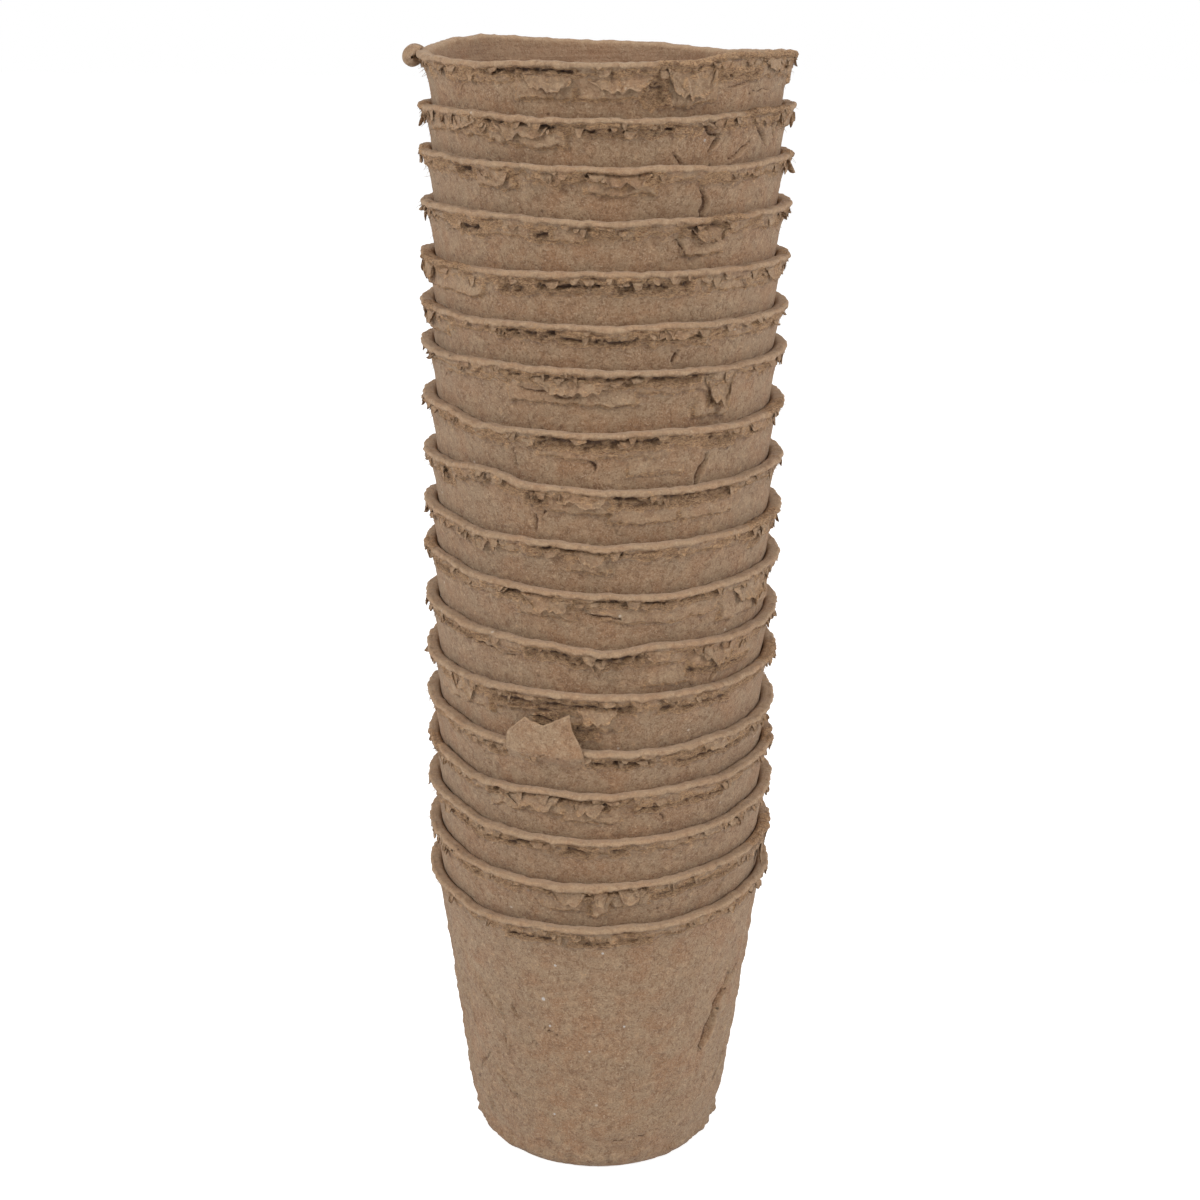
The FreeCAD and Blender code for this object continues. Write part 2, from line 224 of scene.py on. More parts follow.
# Loose flaps: bearing, width, top, length, curl and lean. Curl is how far a flap bends
# outwards along its length, in degrees, and lean how far its end swings to the right.
flap_rows = {
    1: [(36, 9, 0.3, 2.2, 25, 0), (82, 6, 0.2, 2.2, 35, 0.1)],
    2: [
        (0.5, 5, 0.5, 5, 22, 0), (-11, 13, 0.3, 4.2, 26, 0.1), (76, 10, 0, 8.6, 14, 0.1),
        (10, 9, 0.4, 3.6, 24, 0),
    ],
    3: [(-40, 15, 0.2, 2.2, 30, 0), (-84, 7, 0, 3, 40, 0)],
    4: [(-24, 22, 0.6, 4, 22, 0.1), (-4, 12, 1, 4.2, 26, 0), (84, 6, 0, 3.4, 40, 0)],
    5: [(40, 15, 0.2, 2.8, 28, 0.1)],
    6: [(-1, 14, 2.6, 4.4, 24, 0), (-50, 14, 0.2, 5.2, 18, 0), (83, 7, 0, 3.4, 36, 0)],
    7: [
        (-2, 4, 2.2, 4, 38, 0.3), (40, 22, 0.4, 5.2, 24, 0.1), (-85, 6, 0, 3.4, 40, 0),
        (18, 10, 0.4, 3, 30, 0),
    ],
    8: [(-17, 18, 0.6, 4.4, 34, 0), (57, 25, 0.2, 7.4, 24, 0), (-84, 6, 0, 2.8, 44, 0)],
    9: [(-4, 10, 0.6, 4.2, 42, 0.1), (64, 8, 0.2, 3.4, 24, 0), (-83, 8, 0.2, 3, 34, 0)],
    10: [(-8, 21, 0, 4, 28, 0), (85, 6, 0.2, 2.4, 40, 0)],
    11: [(57, 12, 0.2, 2.8, 24, 0), (-83, 7, 0, 3.2, 38, 0)],
    12: [(-10, 30, 1.2, 4.6, 34, 0), (37, 12, 1, 7.6, 32, 0.1), (84, 5, 0, 7, 14, 0)],
    13: [(24, 13, 0.2, 2.8, 28, 0), (-72, 15, 0.2, 3.8, 30, 0)],
    14: [(-72, 13, 0.2, 4.4, 36, 0), (66, 19, 0.2, 3.2, 34, 0), (-86, 5, 0.4, 4, 40, 0)],
    15: [(32, 12, 1.4, 4.8, 48, 0.1), (84, 6, 0.2, 2.2, 46, 0)],
    16: [
        (-35, 13, 0.3, 4.2, 34, 0), (5, 18, 0.6, 3.8, 52, 0), (82, 6, 0.6, 4.4, 40, 0),
        (-84, 7, 0, 3.2, 40, 0),
    ],
    17: [
        (-52, 22, 0.2, 3.4, 16, 0), (-26, 20, 1, 3.4, 32, 0), (-82, 6, 0.8, 3.8, 40, 0),
        (85, 7, 0, 4.6, 30, 0),
    ],
    18: [
        (-18, 18, 1.4, 4.6, 34, 0), (25.5, 18, 0.2, 7.8, 26, 0), (62, 20, 0.2, 3, 30, 0),
        (4, 20, 2, 3.8, 30, 0),
    ],
}

# The sides and back are torn about these bearings.
back_tear_bearings = (108, 140, 171, 205, 238)

# The tongue of one pot's rim that stands up unrolled: its top edge over the pot's level,
# by bearing, and where its foot leaves the wall.
tongue_pot = 4
tongue_bearings = (
    -30.8, -30.3, -27.2, -23.6, -21.4, -18.0, -16.2, -12.8, -9.5, -9.1, -8.7, -7.5, -6.1, -4.9,
)
tongue_tops = (-2.6, 1.9, 4.0, 6.2, 5.2, 4.7, 5.2, 6.5, 7.6, 5.6, 4.0, 2.5, 0.5, -2.4)
tongue_foot = -4.8
tongue_thickness = 0.55

# The skin of the top rim that is rolled up outside its left side.
curl_bearing = -87.5
curl_width = 11.5
curl_out = 0.9
curl_down = 1.5
curl_radius = 2.75
curl_inner_radius = 0.75
curl_thickness = 0.72
curl_start_angle = 138
curl_turn_angle = 640

# Loose bits of each pot, the share of them in front, and the bearings of front and back.
scraps_per_pot = 42
scraps_in_front = 0.7
fibres_per_pot = 260
fibres_in_front = 0.75
front_span = (-98, 98)
back_span = (98, 262)
flap_thickness = 0.32

# Bumps of the lowest pot's foot: bearing, height, half width and how far they stand out.
foot_bumps = (
    (-86, 1.6, 5.0, 0.9), (-62, 2.2, 3.0, 0.5), (-45, 1.8, 3.4, 0.6), (-30, 2.6, 3.0, 0.55),
    (-8, 1.2, 4.0, 0.35), (12, 2.8, 8.0, 0.4), (40, 1.6, 4.0, 0.4), (64, 1.8, 3.2, 0.4),
    (84, 2.0, 5.0, 0.8),
)

# Columns of the mesh round a pot. The front half is finer, and the plain parts of the
# cup take one column in four.
front_half_angle = 100.0
front_columns = 340
back_columns = 148
columns_per_coarse = 4
front_bearings = np.linspace(-front_half_angle, front_half_angle, front_columns, endpoint=False)
back_bearings = np.linspace(front_half_angle, 360 - front_half_angle, back_columns, endpoint=False)
bearings = np.concatenate([front_bearings, back_bearings])

# Rows of the mesh: fine under the lip, wider apart below, and over the lowest pot's wall.
fine_depth = 6.2
fine_step = 0.27
band_depth = 13.0
band_step = 0.55
lowest_step = 0.6
lip_band = 1.2
mouth_tight = 0.15

# Noise is taken on a drum of this radius, on which every pot has a part of its own.
noise_radius = 38.0
pot_spacing = 211.7
pot_slant = 0.37
hash_factors = (374761393, 668265263, 2246822519)
hash_mix = 1274126177
slope_bits = 10
slope_range = 1023
noise_gain = 1.4
salt_step = 97
layer_salt = 31

# How far marks under a lip go in, skin beside a crease out, and dents of the wall in and out.
hole_depth = 0.42
crevice_depth = 0.45
crack_depth = 1.1
brow_height = 0.65
deepest_mark = -0.72
dent_limits = (-0.42, 0.07)

# The pot whose lip is fuller in front, and how near the back's middle a tear may reach.
full_lip_pot = 1
back_limit = 178


def noise(points, salt):
    """Smooth noise, about -1 to 1, at points of shape (..., 3), one cell per unit."""
    cell = np.floor(points).astype(np.int64)
    part = points - cell
    ease = part ** 3 * (part * (part * 6 - 15) + 10)
    total = np.zeros(points.shape[:-1])
    for corner in itertools.product((0, 1), repeat=3):
        lattice = (cell + corner).astype(np.uint32)
        mixed = sum(lattice[..., axis] * np.uint32(hash_factors[axis]) for axis in range(3))
        mixed = mixed + np.uint32(salt * salt_step + seed)
        mixed = (mixed ^ (mixed >> np.uint32(13))) * np.uint32(hash_mix)
        mixed = mixed ^ (mixed >> np.uint32(16))
        away = part - corner
        weight = np.ones(points.shape[:-1])
        slope = np.zeros(points.shape[:-1])
        for axis in range(3):
            bits = (mixed >> np.uint32(slope_bits * axis)) & np.uint32(slope_range)
            slope += (bits / (slope_range / 2) - 1.0) * away[..., axis]
            weight *= ease[..., axis] if corner[axis] else 1 - ease[..., axis]
        total += slope * weight
    return total * noise_gain


def layered(points, size, salt, layers=3):
    """Noise of several sizes, each half the last in size and strength."""
    total = np.zeros(points.shape[:-1])
    strength = 1.0
    for layer in range(layers):
        total += strength * noise(points / size, salt + layer_salt * layer)
        size = size * 0.5
        strength *= 0.5
    return total


def smooth(low, high, value):
    """0 below low, 1 above high, smooth between."""
    share = np.clip((value - low) / (high - low), 0, 1)
    return share * share * (3 - 2 * share)


def blend_of(a, b, share):
    return a + (b - a) * share


def facing(angles):
    """Bearings from -180 to 180."""
    return (angles + 180) % 360 - 180


def ramp_between(angles, low, high, soft):
    """1 between two bearings, 0 outside, soft over some degrees at the ends."""
    turned = facing(angles)
    past_high = smooth(high - soft, high + soft, turned)
    return smooth(low - soft, low + soft, turned) * (1 - past_high)


def stacked(*values):
    """Arrays and numbers side by side, in a new last axis."""
    return np.stack(np.broadcast_arrays(*values), axis=-1)


def points_at(turn, radius, height):
    """Points at turns in radians from the front, radii and heights."""
    return stacked(radius * np.sin(turn), -radius * np.cos(turn), height)


def wall_line(height):
    """Outside radius of the straight wall at a height above the pot's base."""
    return line_base_radius + taper * height


def foot_line(height):
    """Outside radius with the foot's draw."""
    inside_foot = base_radius + (wall_line(foot_height) - base_radius) * height / foot_height
    return np.where(height < foot_height, inside_foot, wall_line(height))


def round_the_pot(angles, index, heights=0):
    """Points on the noise drum at bearings and heights, in a pot's own part of it."""
    turn = np.radians(angles)
    x = noise_radius * np.sin(turn)
    y = -noise_radius * np.cos(turn)
    far = pot_spacing * (index + 1)
    return stacked(x + far, y - far, heights + pot_slant * far)


def lip_wave(index, angles):
    """How far the lip stands above its level place at each bearing."""
    values = lip_waves[index]
    places = np.array(wave_bearings)
    shifted = (angles - places[0]) % 360
    ends = np.append(places, places[0] + 360) - places[0]
    span = np.clip(np.searchsorted(ends, shifted, side="right") - 1, 0, len(values) - 1)
    share = (shifted - ends[span]) / (ends[span + 1] - ends[span])
    share = share * share * (3 - 2 * share)
    table = np.array(values + values[:1])
    broad = blend_of(table[span], table[span + 1], share)
    drum = round_the_pot(angles, index)
    small = 0.27 * layered(drum, 5.0, 5) + 0.20 * noise(drum / 2.4, 7)
    return broad + 0.15 * noise(drum / 17.0, 3) + small


lip_tops = [pot_height + lip_wave(index, bearings) for index in range(pot_count)]


def lip_top_at(index, angle):
    """Height of a pot's lip over its base at any bearings."""
    return np.interp((angle - bearings[0]) % 360, bearings - bearings[0], lip_tops[index], period=360)


def fluff_of(index, angles):
    """1 where the lip is torn to fluff, 0 elsewhere."""
    fluff = 0 * angles
    for low, high in fluff_ranges.get(index + 1, ()):
        fluff = np.maximum(fluff, ramp_between(angles, low, high, 3.0))
    return fluff


def back_tears(index):
    """Rows of skins and slots for the sides and back."""
    rng = np.random.default_rng(seed * 7919 + index)
    back_skins = []
    back_slots = []
    for bearing in back_tear_bearings:
        middle = bearing + rng.uniform(-12, 12)
        half = rng.uniform(9, 21)
        middle = facing(middle)
        if abs(middle) + half > back_limit:
            middle = math.copysign(back_limit - half, middle)
        bottom = rng.uniform(2.0, 6.0)
        back_skins.append((middle - half, middle + half, -1, bottom, rng.uniform(0.3, 0.9)))
        if rng.random() < 0.75:
            shift = rng.uniform(-6, 6)
            wide = rng.uniform(4, 12)
            top = rng.uniform(-0.1, 1.2)
            low_edge = top + rng.uniform(0.9, 2.2)
            back_slots.append((middle + shift - wide, middle + shift + wide, top, low_edge))
    return back_skins, back_slots


def depth_into(angles, under, row, drum):
    """Millimetres from the ragged outline of a patch, above 0 inside it."""
    low, high, top, bottom = row[:4]
    turned = facing(angles)
    along = np.minimum(turned - low, high - turned) * math.radians(1) * noise_radius
    down = np.minimum(under - top, bottom - under)
    rag = 0.55 * noise(drum / 3.4, 201) + 0.42 * layered(drum, 1.5, 203, 3)
    return np.minimum(along * 0.8, down) + rag


def crack_line(angles, under, row, drum):
    """How deep in a crack each point is, and how far up the raised skin beside it."""
    first, top, last, bottom, width = row
    scale = math.radians(1) * noise_radius
    ax, ay = first * scale, top
    bx, by = last * scale, bottom
    px = facing(angles) * scale + 0.8 * layered(drum, 2.6, 211, 2)
    py = under + 0.6 * layered(drum, 2.9, 213, 2)
    share = ((px - ax) * (bx - ax) + (py - ay) * (by - ay)) / ((bx - ax) ** 2 + (by - ay) ** 2)
    near = np.clip(share, 0, 1)
    away = np.hypot(px - ax - near * (bx - ax), py - ay - near * (by - ay))
    thin = 0.8 * width * (0.2 + 0.8 * np.sin(np.pi * np.clip(near, 0.03, 0.97)))
    brow = np.exp(-((away - 1.7 * thin) / (0.9 * thin)) ** 2) * (px > ax + near * (bx - ax))
    return 1 - smooth(0.25 * thin, 0.95 * thin, away), brow


def torn_band(index, angles, under, drum):
    """Offset from the straight wall under a lip, how torn and how pale it is, the pale partly a painted
    highlight on edges, and how much painted shade darkens its pits, recesses and creases.
    """
    back_skins, back_slots = back_tears(index)
    undercut = 0.16 + 0.24 * smooth(-0.2, 0.5, noise(drum / (5.0, 5.0, 9.0), 39))
    flare = (lip_reach - undercut) * np.exp(-np.maximum(under, 0) / 2.1)
    broad = noise(drum / (8.0, 8.0, 9.0), 41)
    fray = 1.1 + 1.3 * broad + 0.8 * layered(drum * (1, 1, 0.35), 2.6, 43, 3)
    edge = fray - under
    skin = smooth(-0.10, 0.22, edge)
    offset = flare + 0.26 * skin * np.clip(under, 0, 1.2) / 1.2
    # The skin's ragged lower edge is painted paler, partly as highlight, and just below it painted shade
    # falls in places.
    line = np.exp(-(edge / 0.3) ** 2)
    under_edge = smooth(-0.8, -0.15, edge) * (1 - smooth(-0.15, 0.1, edge))
    torn = 0.35 * line + 0.5 * under_edge
    painted_shade = 0.35 * under_edge * smooth(-0.1, 0.5, noise(drum / 3.7, 45))
    pale = 0.5 * line

    # Torn skin, standing further out towards its lower edge.
    for row in skins[index + 1] + back_skins:
        depth = depth_into(angles, under, row, drum)
        inside = smooth(-0.05, 0.30, depth)
        top, bottom, lift = row[2:]
        run = np.clip((under - max(top, 0)) / max(bottom - max(top, 0), 0.5), 0, 1.15)
        wave = 1 + 0.45 * noise(drum / 4.1, 51)
        raised = flare * 0.6 + 0.95 * lift * wave * run ** 1.4 + 0.10
        offset = offset + inside * np.maximum(raised + flare * 0.4 - offset, 0.0)
        # Along the lifted lower edge a paler rim, partly painted highlight, and just below it a painted
        # shadow, in the shade mask and in the torn colour.
        lower = smooth(0.3, 0.9, run)
        rim = np.exp(-((depth - 0.12) / 0.26) ** 2) * lower
        shadow = smooth(-0.9, -0.1, depth) * (1 - smooth(-0.1, 0.12, depth)) * lower
        torn = np.clip(torn * (1 - 0.5 * inside) + 0.35 * rim + 0.35 * shadow, 0, 1)
        painted_shade = np.clip(painted_shade * (1 - inside) + 0.30 * shadow, 0, 1)
        pale = np.clip(pale * (1 - inside) + 0.15 * inside + 0.7 * rim, 0, 1)

    # Recesses where skin is gone, deepest at the top and crossed by wisps, darkened with painted shade
    # that is strongest at the top.
    for row in slots[index + 1] + back_slots:
        depth = depth_into(angles, under, row, drum * (1, 1, 1.3) + 50) - 0.08
        inside = smooth(-0.1, 0.22, depth)
        wisps = smooth(-0.15, 0.30, layered(drum * (0.7, 0.7, 1.3), 1.5, 57, 3))
        inside = inside * (1 - 0.8 * wisps)
        deep = 1 - 0.75 * smooth(0.45, 1.5, under - row[2])
        offset = blend_of(offset, np.minimum(offset, flare * 0.42) - 0.22 - 0.28 * deep, inside)
        painted_shade = np.maximum(painted_shade, (0.25 + 0.6 * deep) * inside)
        torn = np.maximum(torn, smooth(-1.5, -0.1, depth) * 0.95)
        pale = pale * (1 - inside)

    # Small holes, and a thin crevice right under the lip in places, both darkened with painted shade.
    holes = layered(drum * (0.8, 0.8, 1.4), 1.7, 67, 3)
    hole = smooth(0.50, 0.72, holes) * np.exp(-(np.maximum(under - 0.6, 0) / 1.6) ** 2)
    hole = hole * smooth(-0.6, 0.2, under)
    offset = offset - hole_depth * hole
    painted_shade = np.maximum(painted_shade, 0.75 * hole)
    open_places = smooth(-0.02, 0.30, noise(drum / (3.6, 3.6, 9.0), 61))
    crevice = np.exp(-((under - 0.4) / 0.26) ** 2) * open_places
    offset = offset - crevice_depth * crevice
    painted_shade = np.maximum(painted_shade, 0.75 * crevice)

    # Torn fibre and its roughness, then the creases, darkened with painted shade, with skin raised along
    # them and painted paler, partly as highlight.
    near = np.exp(-(np.maximum(under, 0) / 3.0) ** 2)
    patches = smooth(-0.3, 0.35, noise(drum / 4.6, 71)) * near
    torn = np.clip(np.maximum(torn + 0.12, 0.9 * patches), 0, 1)
    rough = 0.40 * layered(drum, 1.5, 73, 3) + 0.20 * noise(drum / 0.85, 79)
    offset = offset + (0.35 * near + torn) * rough
    for row in cracks[index + 1]:
        crack, brow = crack_line(angles, under, row, drum)
        offset = offset - crack_depth * row[4] * crack + brow_height * row[4] * brow
        painted_shade = np.maximum(painted_shade, 0.85 * crack)
        pale = np.maximum(pale, 0.5 * brow)
    return offset, torn, painted_shade, pale


def wall_dents(drum):
    """Slow dents and upright buckles of the wall, mostly inwards."""
    dent = 0.24 * noise(drum / (9.0, 9.0, 11.0), 91) - 0.06
    dent = dent + 0.10 * noise(drum / (4.0, 4.0, 6.0), 93)
    dent = dent + 0.09 * layered(drum, 2.4, 95, 3)
    return np.clip(dent, *dent_limits)


def lowest_wall(angles, height, drum):
    """Dents of the lowest pot's wall, its ragged foot and the bumps along it."""
    low = 1 - smooth(2.0, 9.0, height)
    rag = low * (0.70 * layered(drum, 3.2, 111, 3) - 0.05)
    side = smooth(35, 75, np.abs(facing(angles)))
    dent = 0.26 * noise(drum / 13.0, 113)
    dent = dent + (0.18 + 0.32 * side) * noise(drum / 4.5, 115)
    dent = dent + (0.09 + 0.20 * side) * layered(drum, 2.2, 117, 3)
    for bearing, level, wide, size in foot_bumps:
        away = ((angles - bearing) * math.radians(1) * base_radius / wide) ** 2
        dent = dent + size * np.exp(-away - ((height - level) / 1.5) ** 2)
    return rag + dent * smooth(60.0, 50.0, height)


def band_rows(index, lip_low):
    """Radius, height and mask of each row of the wall under the lip, lowest row first."""
    steps = [np.arange(fine_depth, 0, -fine_step), np.arange(band_depth, fine_depth, -band_step)]
    if index == 0:
        steps.append(np.arange(pot_height - 3.2, band_depth, -lowest_step))
    under = np.concatenate(steps[::-1])[:, None] * np.ones((1, len(bearings)))
    height = lip_low[None, :] - under
    if index == 0:
        lowest = smooth(20.0, pot_height - 4, under)
        height = blend_of(height, pot_height - lip_band - under, lowest)
    angles = bearings[None, :]
    drum = round_the_pot(angles, index, height)
    offset, torn, painted_shade, pale = torn_band(index, angles, under, drum)
    dents = lowest_wall(angles, height, drum) if index == 0 else 0.0
    offset = np.maximum(offset + wall_dents(drum), deepest_mark)
    radius = foot_line(height) + offset + dents
    return list(zip(radius, height, stacked(torn, painted_shade, pale, 0)))


def lip_rows(index, fluff, lip_out, thick, bulge):
    """Rows of the lip: its lower edge, round front and crest."""
    top = lip_tops[index]
    rows = []
    for turn in np.radians(np.linspace(-58, 90, 8)):
        radius = lip_out - bulge * (1 - np.cos(turn))
        height = top - thick / 2 + thick / 2 * np.sin(turn)
        drum = round_the_pot(bearings, index, height)
        rough = (0.24 + 0.32 * fluff) * layered(drum, 2.0, 89, 3)
        rough = rough + 0.09 * noise(drum / 0.8, 91)
        radius = radius + rough * np.cos(turn)
        height = height + 0.7 * rough * np.sin(turn)
        low = smooth(-0.35, -0.8, np.sin(turn))
        scuff = smooth(0.15, 0.6, noise(drum / 2.9, 97))
        frayed = np.clip(0.30 * low + 0.30 * scuff + 0.65 * fluff, 0, 1)
        # The lip's front and crest are painted paler than its underside: paler skin, and in part a
        # painted highlight where light falls from above.
        bright = (1 - low) * (0.55 + 0.35 * scuff + 0.35 * noise(drum / 1.4, 99))
        rows.append((radius, height, stacked(frayed, 0, np.clip(bright, 0, 1), 0)))
    return rows


def mouth_rows(index, fluff, crest):
    """Rows from the lip's crest over the mouth and down its first stretch inside."""
    top = lip_tops[index]
    wall = wall_thickness * wall_shares[index]
    mouth = wall_line(top) - wall - mouth_tight
    rows = []
    for share, dip in ((0.25, -0.04), (0.5, 0.0), (0.75, 0.14), (0.92, 0.40)):
        radius = blend_of(crest, mouth, share)
        drum = round_the_pot(bearings, index, top + share)
        height = top + (0.12 + 0.16 * fluff) * layered(drum, 1.8, 93, 2) - dip
        # The crest is painted pale, partly as highlight where light falls on it from above.
        rows.append((radius, height, stacked(0.5 * fluff, 0, 0.8, 0)))
    for depth, tight in ((0.75, 1.0), (1.2, 1.0), (2.4, 0.8), (4.0, 0.3), (6.0, 0.0), (8.0, 0.0)):
        height = top - depth
        dull = 1 - smooth(0.3, 2.0, depth)
        mask = stacked(0 * top, 0, 0.5 * dull, 1 - dull)
        rows.append((wall_line(height) - wall - mouth_tight * tight, height, mask))
    return rows


def cup_surface(index):
    """Rings of points over a pot's upper band, from the wall up over the lip to inside.
    Returns the points as (rows, columns, 3) and the masks as (rows, columns, 4)."""
    level = round_the_pot(bearings, index)
    fluff = fluff_of(index, bearings)
    ragged = 0.34 * layered(level, 3.0, 13, 4) * (1 + 0.9 * fluff)
    lip_out = rim_radius - 0.1 + 0.28 * noise(level / 13.0, 11) + ragged
    thick = lip_band + 0.24 * noise(level / 8.0, 17) + 0.34 * layered(level, 2.8, 19, 3)
    if index == full_lip_pot:
        thick = thick + 0.7 * np.exp(-((bearings + 5) / 9) ** 2)
    if index == tongue_pot:
        lip_out = lip_out - 1.0 * ramp_between(bearings, -30, -6, 1.0)
    thick = np.clip(thick, 0.6, 2.2)
    bulge = 0.62 + 0.15 * noise(level / 5.0, 83)
    rows = band_rows(index, lip_tops[index] - thick)
    rows += lip_rows(index, fluff, lip_out, thick, bulge)
    rows += mouth_rows(index, fluff, lip_out - bulge)
    turn = np.radians(bearings)
    grid = [points_at(turn, radius, height) for radius, height, mask in rows]
    return np.array(grid), np.array([mask for radius, height, mask in rows])


def cup_plain_rings(index):
    """Rings of the plain outside, lowest last, and of the plain inside, lowest last."""
    angles = bearings[::columns_per_coarse]
    wall = wall_thickness * wall_shares[index]
    outside = []
    heights = [] if index == 0 else np.concatenate([np.arange(48.0, 4.0, -6.0), [1.5]])
    for height in heights:
        drum = round_the_pot(angles, index, height)
        outside.append((foot_line(height) + wall_dents(drum), height))
    level = round_the_pot(angles, index)
    worn = 1.0 if index == 0 else 0.0
    wear = worn * layered(level, 6.0, 121, 3)
    nick = worn * layered(level, 4.0, 123, 3)
    outside.append((base_radius - 0.15 + 0.4 * nick, 0.7 + 0.45 * np.clip(wear, -1, 1.6)))
    outside.append((base_radius - 0.7 - 0.5 * np.abs(wear), 0.12 + 0.10 * np.clip(nick, -1, 1)))
    outside += [(radius, 0.0) for radius in (26.0, 20.0, 12.0, 4.0)]
    low = foot_line(floor_thickness) - wall
    heights = np.concatenate([np.arange(52.0, 8.0, -6.0), [5.0, 3.4]])
    inside = [(foot_line(height) - wall, height) for height in heights]
    inside += [(low - 0.6, 2.4), (low - 1.6, 1.9), (low - 3.2, floor_thickness)]
    inside += [(radius, floor_thickness) for radius in (18.0, 12.0, 4.0)]
    turn = np.radians(angles)
    return [[points_at(turn, radius, height) for radius, height in group] for group in (outside, inside)]


def add_object(name, data):
    item = bpy.data.objects.new(name, data)
    bpy.context.scene.collection.objects.link(item)
    return item


class MeshParts:
    """Collects points, faces and masks of one mesh."""

    def __init__(self):
        self.points = []
        self.masks = []
        self.faces = []
        self.count = 0

    def add_points(self, points, masks):
        start = self.count
        self.points.append(points.reshape(-1, 3))
        self.masks.append(masks.reshape(-1, 4))
        self.count += len(self.points[-1])
        return start

    def add_tube(self, rings, columns, downward=False):
        """Quads between each ring and the next, turned the other way if downward."""
        a = np.arange(columns)
        b = (a + 1) % columns
        for first, second in zip(rings[:-1], rings[1:]):
            low, high = (second, first) if downward else (first, second)
            quads = np.stack([low + a, low + b, high + b, high + a], -1)
            self.faces.extend(quads.tolist())

    def add_step(self, coarse, fine, columns, upward):
        """Faces between a coarse ring and a fine one with several columns to each."""
        for column in range(columns // columns_per_coarse):
            following = (column + 1) % (columns // columns_per_coarse)
            fines = [(column * columns_per_coarse + k) % columns for k in range(columns_per_coarse + 1)]
            face = [coarse + column, coarse + following] + [fine + k for k in reversed(fines)]
            self.faces.append(face if upward else face[::-1])

    def add_lid(self, ring, columns, upward):
        """Closes a small ring with one face."""
        face = list(range(ring, ring + columns))
        self.faces.append(face if upward else face[::-1])

    def add_sheet(self, sides, masks):
        """A thin closed sheet from its outside and inside grids of points."""
        across, down = sides[0].shape[0] - 1, sides[0].shape[1] - 1
        face_start = self.add_points(sides[0], masks[0])
        back_start = self.add_points(sides[1], masks[1])
        step = down + 1
        for i in range(across):
            for j in range(down):
                a = i * step + j
                corners = (a, a + 1, a + step + 1, a + step)
                self.faces.append([face_start + k for k in corners])
                self.faces.append([back_start + corners[k] for k in (0, 3, 2, 1)])
        loop = [i * step for i in range(across + 1)]
        loop += [across * step + j for j in range(1, down + 1)]
        loop += [i * step + down for i in range(across - 1, -1, -1)]
        loop += range(down - 1, 0, -1)
        for a, b in zip(loop, loop[1:] + loop[:1]):
            self.faces.append([face_start + a, face_start + b, back_start + b, back_start + a])

    def build(self, name):
        mesh = bpy.data.meshes.new(name)
        points = np.concatenate(self.points) * millimetre
        mesh.from_pydata(points.tolist(), [], self.faces)
        masks = np.concatenate(self.masks)
        # The masks: torn fibre, painted shade, pale with painted highlight in part, and the inside.
        for column, word in enumerate(("torn", "painted_shade", "pale", "inner")):
            layer = mesh.attributes.new(word, "FLOAT", "POINT")
            layer.data.foreach_set("value", masks[:, column].astype(np.float32))
        mesh.polygons.foreach_set("use_smooth", np.ones(len(mesh.polygons), dtype=bool))
        mesh.update()
        return add_object(name, mesh)


def add_cup(parts, index):
    """The cup of one pot as one closed surface."""
    columns = len(bearings)
    coarse_columns = columns // columns_per_coarse
    lift = np.array([0, 0, base_heights[index]])
    grid, masks = cup_surface(index)
    starts = [parts.add_points(ring + lift, mask) for ring, mask in zip(grid, masks)]
    parts.add_tube(starts, columns)
    outside, inside = cup_plain_rings(index)
    plain = np.zeros((coarse_columns, 4))
    within = plain + (0, 0, 0, 1)
    outer = [parts.add_points(ring + lift, plain) for ring in outside]
    inner = [parts.add_points(ring + lift, within) for ring in inside]
    parts.add_step(outer[0], starts[0], columns, True)
    parts.add_tube(outer, coarse_columns, downward=True)
    parts.add_lid(outer[-1], coarse_columns, False)
    parts.add_step(inner[0], starts[-1], columns, False)
    parts.add_tube(inner, coarse_columns)
    parts.add_lid(inner[-1], coarse_columns, True)


def sheet_grid(across, down):
    """Shares across a sheet, from its middle, and down it, at each of its points."""
    shares = (np.linspace(-0.5, 0.5, across + 1), np.linspace(0, 1, down + 1))
    return np.meshgrid(*shares, indexing="ij")


